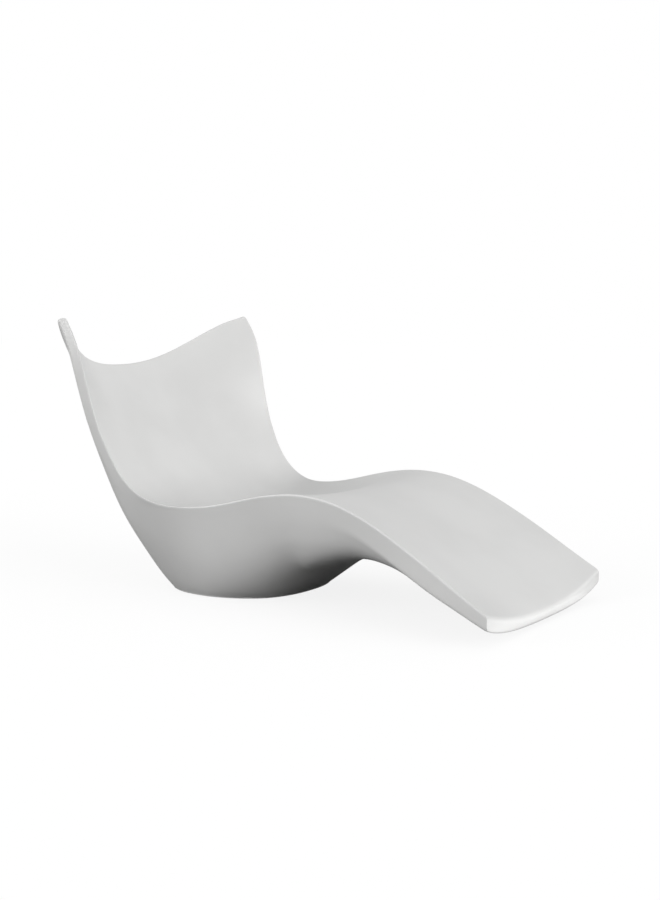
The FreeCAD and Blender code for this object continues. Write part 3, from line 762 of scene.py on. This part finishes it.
def metal_material(name, base, roughness):
    """Turned metal: fine tool marks and patches of tarnish."""
    tarnish_dulling = 0.14
    look = Finish(name)
    marks = look.noise(scale=900.0, detail=2.0, stretch=(1.0, 1.0, 9.0))
    tarnish = look.noise(scale=260.0, detail=5.0, roughness=0.6)
    body = look.mixed(look.ramp(tarnish, low=0.45, high=0.8), tint(base, factor=1.05),
                      tint(base, factor=0.72))
    uneven = roughness + swing(marks, width=0.16) + look.ramp(tarnish, low=0.5, high=0.8) * tarnish_dulling
    relief = look.bump(marks, distance=0.05 * MM)
    return look.finish(Base_Color=body, Roughness=uneven, Metallic=1.0, Normal=relief)


def floor_material(stage):
    """Pale matt floor, faintly mottled: it shows the camera faded shadows and throws little light back."""
    mottling = 0.01
    white = (1.0, 1.0, 1.0)
    look = Finish("pale_floor")
    mottle = look.noise(scale=1.5, detail=3.0)
    seen = look.add("ShaderNodeLightPath", "Is Camera Ray")
    shaded = 1 - stage.floor_glow
    body = look.mixed(mottle, tint(stage.floor, shaded * (1 - mottling)),
                      tint(stage.floor, shaded * (1 + mottling)))
    bounced = look.mixed(seen, tint(white, stage.floor_bounce), body)
    glow = look.mixed(seen, tint(white, 0.0), tint(white, stage.floor_glow))
    return look.finish(Base_Color=bounced, Roughness=0.9, Specular_IOR_Level=0.0, Emission_Color=glow,
                       Emission_Strength=1.0)


def body_mesh(sizes):
    """Seat skin on a grid, and a closed grid from the rim down: band, outer skin, rounded edge, underside.

    Columns of the lower grid are places round the edge. Its rows run from the seat's edge straight to the
    outer skin's edge, then along the skin towards the base's middle as far as the floor, round a quarter
    circle and over the flat underside to the middle.
    """
    rim, seat, band, keel = body_lines(sizes)
    seat_half = half_net(sizes, seat, rim, band, 0)
    outer_half = half_net(sizes, keel, band, rim, 1)
    seat_net = whole_net(sizes, seat_half, outer_half)
    outer_net = whole_net(sizes, outer_half, seat_half)

    along = np.linspace(0, 1, STATIONS_ALONG)
    across = np.linspace(0, 1, PLACES_ACROSS)
    seat_points = skin_grid(seat_net, along, across)
    seat_places = np.stack(np.meshgrid(along, across, indexing="ij"), axis=-1)

    ring = perimeter(along, across)
    seat_edge = skin_points(seat_net, ring)
    outer_edge = skin_points(outer_net, ring)
    band_shares = np.linspace(0, 1, BAND_ROWS, endpoint=False)[:, None, None]
    band_points = seat_edge + (outer_edge - seat_edge) * band_shares

    crossing = floor_crossing(outer_net, ring, sizes.floor_edge)
    reach = 1 + (crossing - 1) * np.linspace(0, 1, SKIN_ROWS)[:, None]
    places = BASE_MIDDLE_SHARES + (ring - BASE_MIDDLE_SHARES) * reach[..., None]
    skin = skin_points(outer_net, places.reshape(-1, 2)).reshape(SKIN_ROWS, -1, 3)

    contour = skin[-1] * ON_FLOOR
    middle = (contour.min(axis=0) + contour.max(axis=0)) / 2
    inward = unit(middle - contour)
    bend = np.linspace(0, QUARTER_TURN, EDGE_ROWS)[1:, None, None]
    edge = contour + sizes.floor_edge * (inward * (1 - np.cos(bend)) + UPWARD * (1 - np.sin(bend)))
    closing = np.linspace(0, 1, FLOOR_ROWS)[1:, None, None]
    underside = edge[-1] + (middle - edge[-1]) * closing

    lower = np.concatenate([band_points, skin, edge, underside])
    points = np.concatenate([seat_points.reshape(-1, 3), lower.reshape(-1, 3)])
    seat_faces = grid_faces(STATIONS_ALONG, PLACES_ACROSS)
    lower_faces = grid_faces(len(lower), len(ring), wrap_columns=True) + STATIONS_ALONG * PLACES_ACROSS
    skin_rim = rim_nearness(places)
    band_rim = np.ones((BAND_ROWS, len(ring))) * (1 - np.sin(band_shares[..., 0] * math.pi))
    rest = np.zeros((len(edge) + len(underside), len(ring)))
    rim_grids = [rim_nearness(seat_places), band_rim, skin_rim, rest]
    rim_values = np.concatenate([grid.ravel() for grid in rim_grids])
    return mesh_from("moulded_body", points, np.concatenate([seat_faces, lower_faces]), {"rim": rim_values})


def port_recess(ports, placement):
    """Cutter of a port: the flat seat with a flared lip, and the hole for the bush below it."""
    seat = ports.seat_diameter / 2
    hole = ports.bush_diameter / 2
    skin = ports.seat_depth
    flare = ports.lip_flare
    lip = arc(seat + flare, skin - flare, flare, math.pi, QUARTER_TURN)
    low = [(0, -ports.bush_length), (hole, -ports.bush_length), (hole, 0), (seat, 0)]
    high = [(seat + flare, skin + ports.lip_margin), (0, skin + ports.lip_margin)]
    return turned("port_recess", np.concatenate([low, lip, high]), placement)


def pad_pocket(feet, placement):
    """Cutter of a pad's pocket and the insert's hole above it."""
    pocket = feet.pad_diameter / 2 + feet.pad_play
    roof = feet.pad_height - feet.pad_stand
    hole = feet.insert_diameter / 2
    profile = [(0, -feet.pad_stand), (pocket, -feet.pad_stand), (pocket, roof), (hole, roof),
               (hole, roof + feet.insert_length), (0, roof + feet.insert_length)]
    return turned("pad_pocket", np.array(profile), placement)


class LOUNGER_OT_mould_body(bpy.types.Operator):
    """Mould the body and cut its port seats and pad pockets"""
    bl_idname = "lounger.mould_body"
    bl_label = "Mould body"

    def execute(self, context):
        scene = context.scene
        cutters = [port_recess(scene.lounger_ports, port_placement(port)) for port in PORTS]
        cutters += [pad_pocket(scene.lounger_feet, pad_placement(index + 1)) for index in range(PAD_COUNT)]
        mesh = carve(body_mesh(scene.lounger_body), cutters)
        add_piece("moulded_body", mesh, shell_material(scene.lounger_finish), BODY, "body_shell")
        return {"FINISHED"}


def bush_mesh(ports, placement):
    """Flanged sleeve: a closed profile with rounded outer edges and a thread cut into its bore."""
    flange = ports.flange_diameter / 2
    sleeve = ports.bush_diameter / 2
    crest = ports.bore / 2
    top = ports.flange_height
    lead = ports.thread_depth
    corners = [(sleeve, -ports.bush_length), (sleeve, 0), (flange, 0), (flange, top), (crest + lead, top)]
    half_corner = 2
    outside = round_profile(corners, ports.edge)[half_corner:-half_corner]
    heights = thread_heights(-ports.bush_length, top - lead, ports.thread_pitch)[::-1]

    def shape(angle, radius, height):
        in_bore = radius < crest + WELD
        root = thread_root(angle, height, ports.thread_pitch, ports.thread_depth)
        return radius + np.where(in_bore, root, 0), height

    profile = np.concatenate([outside, upright(crest, heights)])
    return turned("bush", profile, placement, shape, closed=True)


def seal_mesh(ports, placement):
    """Ring with a rounded section, between the bush flange and the plug head."""
    inner = ports.bore / 2
    outer = ports.seal_diameter / 2
    low = ports.flange_height
    high = low + ports.seal_height
    rounding = ports.seal_height / 3
    section = round_profile([(inner, low), (outer, low), (outer, high), (inner, high)], rounding)
    return turned("seal", section, placement, closed=True)


def plug_mesh(ports, placement):
    """Threaded shank and fluted head: the head's radius drops by a power of a cosine at each flute."""
    head_foot = ports.flange_height + ports.seal_height
    head_top = head_foot + ports.head_height
    shank_foot = head_foot - ports.shank_length
    crest = ports.bore / 2 - ports.plug_clearance
    head = ports.head_diameter / 2
    neck = crest - ports.thread_depth
    edge = ports.edge
    heights = thread_heights(shank_foot + edge, head_foot - edge, ports.thread_pitch)
    top_edge = 2 * edge
    foot = [(0, shank_foot), (neck - edge, shank_foot)]
    collar = [(neck, head_foot), (neck + edge, head_foot)]
    under = arc(head - edge, head_foot + edge, edge, -QUARTER_TURN, 0)
    over = arc(head - top_edge, head_top - top_edge, top_edge, 0, QUARTER_TURN)
    crown = [(head / 2, head_top), (0, head_top)]
    flute_power = 1.8
    flute_start = head * 0.8

    def shape(angle, radius, height):
        on_shank = (height > shank_foot + edge / 2) & (height < head_foot - edge / 2)
        root = thread_root(angle, height, ports.thread_pitch, ports.thread_depth)
        flute = ((1 - np.cos(ports.grips * angle)) / 2) ** flute_power * ports.grip_depth
        on_side = np.clip((radius - flute_start) / (head - flute_start), 0, 1) * (height > head_foot - WELD)
        return radius - np.where(on_shank, root, 0) - flute * on_side, height

    profile = np.concatenate([foot, upright(crest, heights), collar, under, over, crown])
    plug = turned("plug", profile, placement, shape)
    slot = block("slot", (head * 2, ports.slot_width / 2, ports.slot_depth), (0, 0, head_top), placement)
    return carve(plug, [slot])


class LOUNGER_OT_fit_ports(bpy.types.Operator):
    """Fit each ballast port with its bush, sealing ring and screw plug"""
    bl_idname = "lounger.fit_ports"
    bl_label = "Fit ports"

    def execute(self, context):
        ports = context.scene.lounger_ports
        finish = context.scene.lounger_finish
        bush_finish = plastic_material("port_bush", finish.bush, roughness=0.44)
        plug_finish = plastic_material("plug_plastic", finish.plug, roughness=0.44)
        seal_finish = rubber_material("seal_rubber", finish.seal, roughness=0.66)
        for port in PORTS:
            placement = port_placement(port)
            seal = port + "_plug_seal"
            plug = port + "_plug"
            add_piece(port + "_bush_turned", bush_mesh(ports, placement), bush_finish, BODY,
                      port + "_port_bush")
            add_piece(seal + "_ring", seal_mesh(ports, placement), seal_finish, seal, seal)
            add_piece(plug + "_fluted", plug_mesh(ports, placement), plug_finish, plug, plug)
        return {"FINISHED"}


def pad_mesh(feet, placement):
    """Disc with a counterbored eye and a tread: grooves h = depth * wave(r), broken by bars round it."""
    rim = feet.pad_diameter / 2
    foot = -feet.pad_stand
    top = feet.pad_height - feet.pad_stand
    sink = feet.screw_head / 2 + feet.screw_play
    eye = feet.screw_diameter / 2 + feet.screw_play
    shoulder = foot + feet.screw_head_cover + feet.screw_head_height
    outside = round_profile([(eye, shoulder), (eye, top), (rim, top), (rim, foot), (sink, foot),
                             (sink, shoulder)], feet.edge)
    tread_rim = rim - 2 * feet.edge
    tread_eye = sink + 2 * feet.edge
    steps = np.linspace(tread_rim, tread_eye, TREAD_STEPS)
    tread = np.stack([steps, np.full(len(steps), foot)], axis=1)
    before_tread = int(np.argmax(np.isclose(outside[:, 1], foot) & (outside[:, 0] < rim)))
    profile = np.concatenate([outside[:before_tread + 1], tread, outside[before_tread + 1:]])
    groove_sharpness = 1.4
    bar_level = 1.6
    bar_sharpness = 2.4

    def shape(angle, radius, height):
        on_tread = np.isclose(height, foot)
        turns = (rim - radius) / feet.tread_pitch
        wave = np.clip(0.5 - groove_sharpness * np.cos(2 * math.pi * turns), 0, 1)
        bars = np.clip(bar_level + bar_sharpness * np.cos(feet.tread_bars * angle), 0, 1)
        ends = np.clip((radius - tread_eye) / feet.edge, 0, 1)
        ends = ends * np.clip((tread_rim - radius) / feet.edge, 0, 1)
        return radius, height + np.where(on_tread, wave * bars * ends * feet.tread_depth, 0)

    return turned("pad", profile, placement, shape, closed=True)


def hexagon(angle):
    """Radius of a hexagon over the radius of its inner circle, by angle."""
    sector = math.pi / 3
    return 1 / np.cos((angle + sector / 2) % sector - sector / 2)


def screw_mesh(feet, placement):
    """Domed head with a hexagon socket, and a threaded shank: one profile turned about its axis."""
    low = -feet.pad_stand + feet.screw_head_cover
    high = low + feet.screw_head_height
    tip = high + feet.screw_length
    key = feet.key_size / 2
    head = feet.screw_head / 2
    shank = feet.screw_diameter / 2
    dome = feet.edge * 2
    chamfer = feet.edge / 3
    floor = low + feet.key_depth
    socket = [(0, floor), (key, floor), (key, low + chamfer), (key + chamfer, low)]
    crown = arc(head - dome, low + dome, dome, -QUARTER_TURN, 0)
    under = [(head, high), (shank + feet.edge, high)]
    thread = upright(shank, thread_heights(high, tip - feet.edge, feet.screw_pitch))
    point = [(shank - feet.screw_thread - feet.edge / 2, tip), (0, tip)]

    def shape(angle, radius, height):
        in_socket = (radius < key + chamfer + WELD) & (height < high - WELD)
        on_thread = (np.abs(radius - shank) < WELD) & (height > high + feet.edge)
        root = thread_root(angle, height, feet.screw_pitch, feet.screw_thread)
        return np.where(in_socket, radius * hexagon(angle), radius) - np.where(on_thread, root, 0), height

    return turned("screw", np.concatenate([socket, crown, under, thread, point]), placement, shape)


def insert_mesh(feet, placement):
    """Sleeve with a crossed knurl: its radius drops by the product of two slanted waves."""
    low = feet.pad_height - feet.pad_stand
    high = low + feet.insert_length
    outer = feet.insert_diameter / 2
    bore = feet.screw_diameter / 2 + feet.insert_play
    end = outer - feet.edge
    side = upright(outer, np.linspace(low + feet.edge, high - feet.edge, KNURL_STEPS))
    profile = np.concatenate([[(end, low)], side, [(end, high), (bore, high), (bore, low)]])
    teeth = 24

    def shape(angle, radius, height):
        slant = height / outer
        cross = np.abs(np.sin(teeth / 2 * (angle + slant)) * np.sin(teeth / 2 * (angle - slant)))
        return radius - np.where(radius > outer - WELD, (1 - cross) * feet.knurl_depth, 0), height

    return turned("insert", profile, placement, shape, closed=True)


class LOUNGER_OT_fit_feet(bpy.types.Operator):
    """Fit the non-slip pads with their screws and inserts"""
    bl_idname = "lounger.fit_feet"
    bl_label = "Fit feet"

    def execute(self, context):
        feet = context.scene.lounger_feet
        finish = context.scene.lounger_finish
        pad_finish = rubber_material("pad_rubber", finish.pad, roughness=0.66)
        screw_finish = metal_material("screw_steel", finish.screw, roughness=0.3)
        insert_finish = metal_material("insert_brass", finish.insert, roughness=0.36)
        for index in range(1, PAD_COUNT + 1):
            placement = pad_placement(index)
            pieces = [("foot_pad_%d", "treaded_pad_%d", pad_mesh, pad_finish, "pad_rubber"),
                      ("pad_screw_%d", "socket_screw_%d", screw_mesh, screw_finish, "screw_steel"),
                      ("pad_insert_%d", "knurled_insert_%d", insert_mesh, insert_finish, "insert_brass")]
            for node, name, make, material, slot in pieces:
                add_piece(name % index, make(feet, placement), material, BODY, node % index)
        return {"FINISHED"}


def soft_light(name, heading, height, softness, strength):
    """A wide, distant light from a heading and a height above the horizon."""
    light = bpy.data.lights.new(name, "SUN")
    light.angle = softness
    light.energy = strength
    lamp = show(name, light)
    level = math.cos(height)
    source = Vector((level * math.cos(heading), level * math.sin(heading), math.sin(height)))
    lamp.rotation_euler = source.to_track_quat("Z", "Y").to_euler()


def low_light(name, place, reach, span, power):
    """A soft light that lies on the floor and shines upwards, unseen by the camera."""
    light = bpy.data.lights.new(name, "AREA")
    light.shape = "RECTANGLE"
    light.size = reach
    light.size_y = span
    light.energy = power
    lamp = show(name, light)
    lamp.location = place
    lamp.rotation_euler = (math.pi, 0.0, 0.0)
    lamp.visible_camera = False


def white_surroundings(strength):
    """A world that shows white behind the floor and lights the scene less than that."""
    world = bpy.data.worlds.new("surroundings")
    world.use_nodes = True
    tree = world.node_tree
    seen = Value(tree, tree.nodes.new("ShaderNodeLightPath").outputs["Is Camera Ray"])
    shown = seen * (1 - strength) + strength
    tree.links.new(shown.socket, tree.nodes["Background"].inputs["Strength"])
    tree.nodes["Background"].inputs["Color"].default_value = (1.0, 1.0, 1.0, 1.0)
    return world


class LOUNGER_OT_set_stage(bpy.types.Operator):
    """Lay the pale floor, hang the lights and place the camera"""
    bl_idname = "lounger.set_stage"
    bl_label = "Set stage"

    def execute(self, context):
        scene = context.scene
        stage = scene.lounger_stage
        level = CAD_BOX[0].z
        half = stage.floor_size / 2
        corners = [(-half, -half, level), (half, -half, level), (half, half, level), (-half, half, level)]
        mesh = bpy.data.meshes.new("floor")
        mesh.from_pydata(corners, [], [(0, 1, 2, 3)])
        mesh.materials.append(floor_material(stage))
        floor = show("floor", mesh)

        scene.world = white_surroundings(stage.sky)
        soft_light("key_light", stage.key_heading, stage.light_height, stage.softness, stage.key)
        soft_light("side_light", stage.side_heading, stage.light_height, stage.softness, stage.side)
        before_foot = (CAD_BOX[1].x + stage.fill_gap, 0.0, level + stage.fill_lift)
        low_light("foot_fill", before_foot, stage.fill_reach, stage.fill_span, stage.fill)
        scene.view_settings.view_transform = "Standard"

        lens = bpy.data.cameras.new("camera")
        lens.lens = stage.lens
        camera = show("camera", lens)
        camera.location = stage.eye
        camera.rotation_euler = (QUARTER_TURN - stage.dip, 0.0, stage.heading)
        scene.camera = camera
        return {"FINISHED"}


class LOUNGER_PT_panel(bpy.types.Panel):
    """The lounger's sizes, colours and building steps"""
    bl_idname = "LOUNGER_PT_panel"
    bl_label = "Sun lounger"
    bl_space_type = "VIEW_3D"
    bl_region_type = "UI"
    bl_category = "Lounger"

    def draw(self, context):
        for step in OPERATORS:
            self.layout.operator(step.bl_idname)
        for name, group in GROUPS.items():
            box = self.layout.box()
            box.label(text=group.__doc__)
            for key in group.__annotations__:
                box.prop(getattr(context.scene, name), key)


GROUPS = {"lounger_body": LoungerBody, "lounger_ports": LoungerPorts, "lounger_feet": LoungerFeet,
          "lounger_finish": LoungerFinish, "lounger_stage": LoungerStage}
OPERATORS = (LOUNGER_OT_mould_body, LOUNGER_OT_fit_ports, LOUNGER_OT_fit_feet, LOUNGER_OT_set_stage)
CLASSES = (*GROUPS.values(), *OPERATORS, LOUNGER_PT_panel)


def register():
    for item in CLASSES:
        bpy.utils.register_class(item)
    for name, group in GROUPS.items():
        setattr(bpy.types.Scene, name, PointerProperty(type=group))


def unregister():
    for name in GROUPS:
        delattr(bpy.types.Scene, name)
    for item in reversed(CLASSES):
        bpy.utils.unregister_class(item)


def main():
    """Builds every piece and the stage."""
    register()
    bpy.ops.lounger.mould_body()
    bpy.ops.lounger.fit_ports()
    bpy.ops.lounger.fit_feet()
    bpy.ops.lounger.set_stage()


if __name__ == "__main__":
    main()
